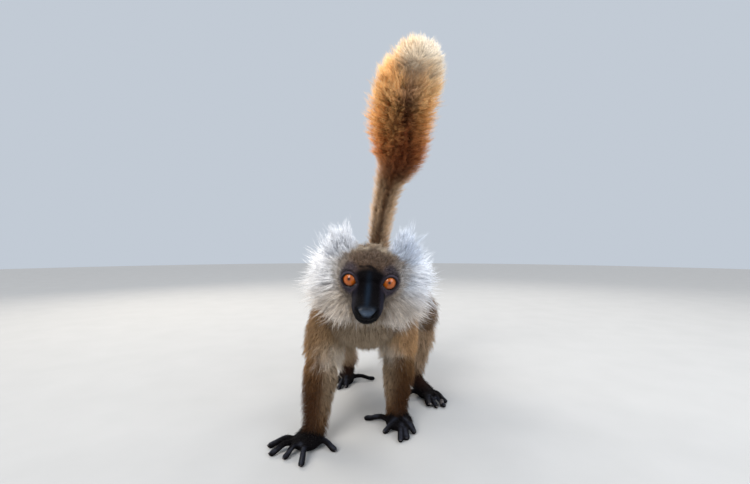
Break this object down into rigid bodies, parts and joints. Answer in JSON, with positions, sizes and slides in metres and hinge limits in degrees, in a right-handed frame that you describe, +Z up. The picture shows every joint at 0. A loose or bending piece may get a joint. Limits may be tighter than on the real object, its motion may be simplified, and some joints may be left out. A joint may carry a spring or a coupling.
{
  "type": "black lemur",
  "caption": "Life-size still model of a female black lemur walking on four legs with its bushy tail raised: brown coat, white ear tufts and cheek ruff, orange eyes.",
  "frame": {"origin": "middle of the model's bounding box on the floor that it stands on", "axes": "+Z up; the animal faces -Y, and its left side is towards +X"},
  "size_m": [0.2464, 0.4889, 0.5661],
  "materials": {
    "coat_brown": "short dense olive-brown fur",
    "coat_crown": "short grey-brown speckled fur",
    "coat_white": "long loose white hair",
    "coat_tail": "long rust-orange hair with a pale tip",
    "bare_skin": "black skin, faintly glossy",
    "eye": "wet orange iris"
  },
  "bodies": {
    "root": {"rump": "coat_brown", "belly": "coat_brown", "chest": "coat_brown", "neck": "coat_brown", "upper_arm_right": "coat_brown", "upper_arm_left": "coat_brown", "forearm_right": "coat_brown", "forearm_left": "coat_brown", "thigh_right": "coat_brown", "thigh_left": "coat_brown", "shank_right": "coat_brown", "shank_left": "coat_brown", "head": "coat_crown", "tail_root": "coat_tail", "tail_stem": "coat_tail", "tail_brush_lower": "coat_tail", "tail_brush_upper": "coat_tail", "tail_tip": "coat_tail", "muzzle": "bare_skin", "jaw": "bare_skin", "nose": "bare_skin", "hand_right": "bare_skin", "hand_left": "bare_skin", "foot_right": "bare_skin", "foot_left": "bare_skin", "ear_right": "coat_white", "ear_left": "coat_white", "ruff_right": "coat_white", "ruff_left": "coat_white", "eye_right": "eye", "eye_left": "eye"}
  },
  "joints": []
}
